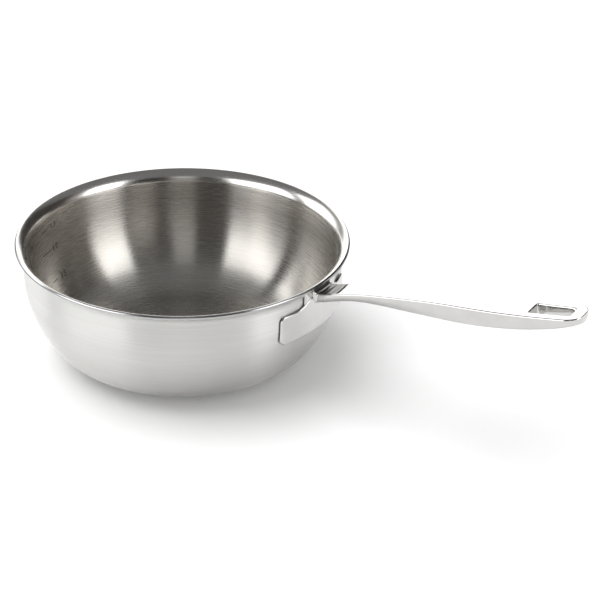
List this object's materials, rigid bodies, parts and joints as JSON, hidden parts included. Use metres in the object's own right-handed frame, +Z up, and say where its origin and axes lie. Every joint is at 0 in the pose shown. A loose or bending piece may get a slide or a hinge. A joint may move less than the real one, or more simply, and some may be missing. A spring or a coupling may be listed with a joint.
{
  "type": "saucier pan",
  "caption": "Round stainless steel saucier pan with curved sides, a flared pouring lip and a long cast handle welded to its wall.",
  "frame": {"origin": "centre of the flat underside of the pan", "axes": "+Z up through the open mouth, +X out along the handle, +Y to the left when looking along the handle from the pan"},
  "size_m": [0.3764, 0.21, 0.1015],
  "materials": {
    "stainless_satin": "satin",
    "aluminium_core": "satin",
    "stainless_polished": "polished"
  },
  "bodies": {
    "root": {"inner_ply": "stainless_satin", "core_ply": "aluminium_core", "outer_ply": "stainless_satin", "handle": "stainless_polished", "weld_nuggets": "stainless_satin"}
  },
  "joints": []
}
